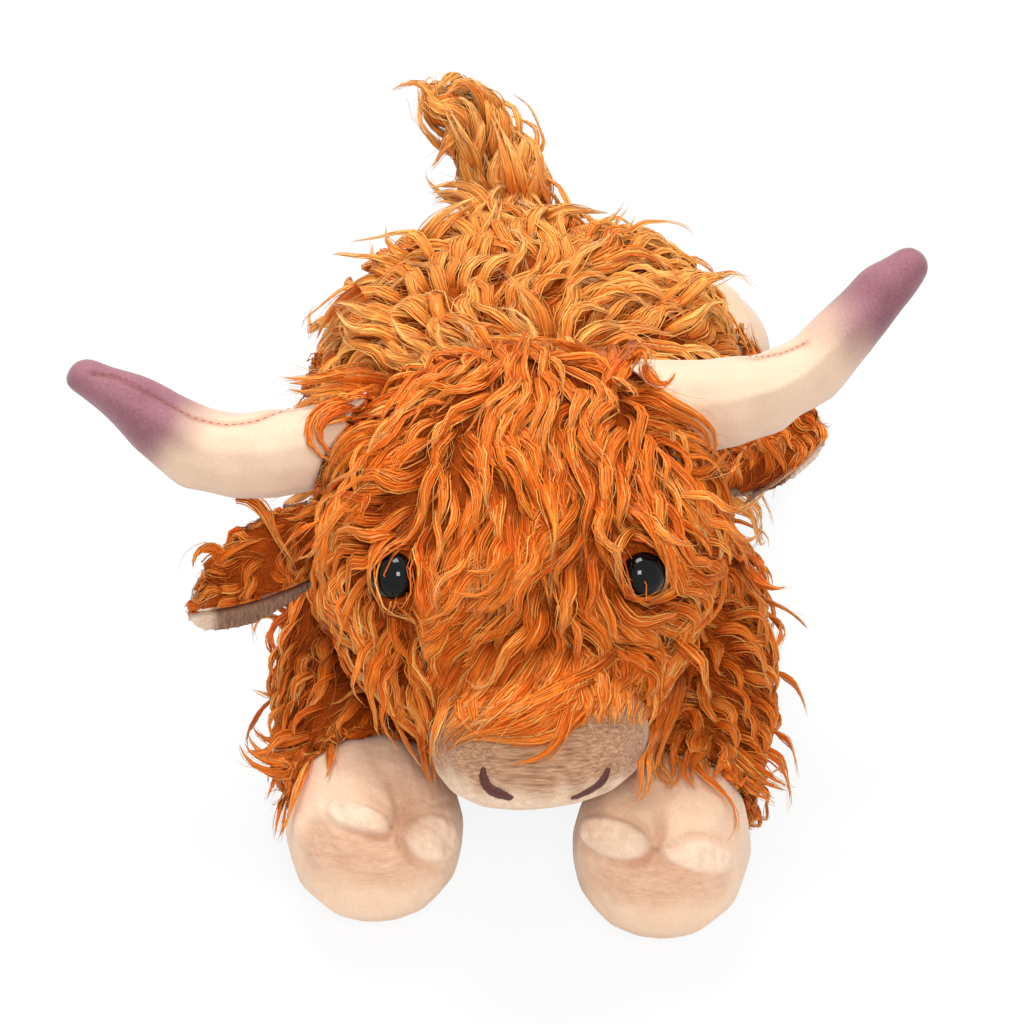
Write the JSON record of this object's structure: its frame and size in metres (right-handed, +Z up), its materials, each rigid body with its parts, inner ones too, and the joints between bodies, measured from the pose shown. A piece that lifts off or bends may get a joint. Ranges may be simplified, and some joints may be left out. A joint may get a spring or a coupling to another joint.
{
  "type": "plush cow",
  "caption": "Stuffed long-haired highland cow lying on its belly, with long curved horns, drooping ears, a velour muzzle, ball hooves and a raised tail.",
  "frame": {"origin": "middle of the flat patch under the belly, on the floor", "axes": "+Z up, +Y from the face to the tail, +X to the cow's own left"},
  "size_m": [0.3346, 0.3923, 0.235],
  "materials": {
    "fur_fabric": "long wavy faux fur, matte",
    "horn_velour": "short smooth velour, matte, dyed mauve at the tip",
    "hoof_plush": "short soft plush, matte",
    "muzzle_velour": "short streaky velour, matte",
    "ear_velour": "short ribbed velour, matte",
    "thread": "embroidery thread, satin",
    "filling": "polyester fibre filling, matte",
    "eye_plastic": "moulded, high gloss",
    "washer_plastic": "moulded, matte"
  },
  "bodies": {
    "torso": {"body_cover": "fur_fabric", "body_fill": "filling"},
    "neck": {"neck_collar": "fur_fabric"},
    "head": {"head_cover": "fur_fabric", "head_fill": "filling", "muzzle": "muzzle_velour", "nostril_left": "thread", "nostril_right": "thread", "eye_left": "eye_plastic", "eye_right": "eye_plastic", "eye_washer_left": "washer_plastic", "eye_washer_right": "washer_plastic", "horn_left": "horn_velour", "horn_right": "horn_velour"},
    "ear_left": {"ear_left": "fur_fabric", "ear_lining_left": "ear_velour"},
    "ear_right": {"ear_right": "fur_fabric", "ear_lining_right": "ear_velour"},
    "leg_front_left": {"leg_front_left": "fur_fabric", "hoof_front_left": "hoof_plush"},
    "leg_front_right": {"leg_front_right": "fur_fabric", "hoof_front_right": "hoof_plush"},
    "leg_hind_left": {"leg_hind_left": "fur_fabric", "hoof_hind_left": "hoof_plush"},
    "leg_hind_right": {"leg_hind_right": "fur_fabric", "hoof_hind_right": "hoof_plush"},
    "tail": {"tail": "fur_fabric"}
  },
  "joints": [
    {"name": "neck_nod", "type": "hinge", "parent": "torso", "child": "neck", "pos_m": [0, -0.118, 0.112], "axis": [-1, 0, 0], "range_deg": [0, 12], "stiffness_Nm_per_rad": 2},
    {"name": "head_tilt", "type": "hinge", "parent": "neck", "child": "head", "pos_m": [0, -0.118, 0.112], "axis": [0, 1, 0], "range_deg": [-4, 8], "stiffness_Nm_per_rad": 4},
    {"name": "ear_left_flap", "type": "hinge", "parent": "head", "child": "ear_left", "pos_m": [0.06261, -0.10665, 0.13906], "axis": [0, -0.788, 0.6157], "range_deg": [-14, 14], "stiffness_Nm_per_rad": 0.3},
    {"name": "ear_right_flap", "type": "hinge", "parent": "head", "child": "ear_right", "pos_m": [-0.07207, -0.1183, 0.12414], "axis": [0, -0.788, 0.6157], "range_deg": [-14, 14], "stiffness_Nm_per_rad": 0.3},
    {"name": "front_left_splay", "type": "hinge", "parent": "torso", "child": "leg_front_left", "pos_m": [0.072, -0.08, 0.052], "axis": [0, 0, 1], "range_deg": [0, 20], "stiffness_Nm_per_rad": 1},
    {"name": "front_right_splay", "type": "hinge", "parent": "torso", "child": "leg_front_right", "pos_m": [-0.072, -0.08, 0.052], "axis": [0, 0, -1], "range_deg": [0, 20], "stiffness_Nm_per_rad": 1},
    {"name": "hind_left_splay", "type": "hinge", "parent": "torso", "child": "leg_hind_left", "pos_m": [0.068, 0.034, 0.05], "axis": [0, 0, -1], "range_deg": [0, 15], "stiffness_Nm_per_rad": 1},
    {"name": "hind_right_splay", "type": "hinge", "parent": "torso", "child": "leg_hind_right", "pos_m": [-0.068, 0.034, 0.05], "axis": [0, 0, 1], "range_deg": [0, 15], "stiffness_Nm_per_rad": 1},
    {"name": "tail_swing", "type": "hinge", "parent": "torso", "child": "tail", "pos_m": [-0.006, 0.094, 0.108], "axis": [0, 1, 0], "range_deg": [-15, 15], "stiffness_Nm_per_rad": 0.5}
  ]
}
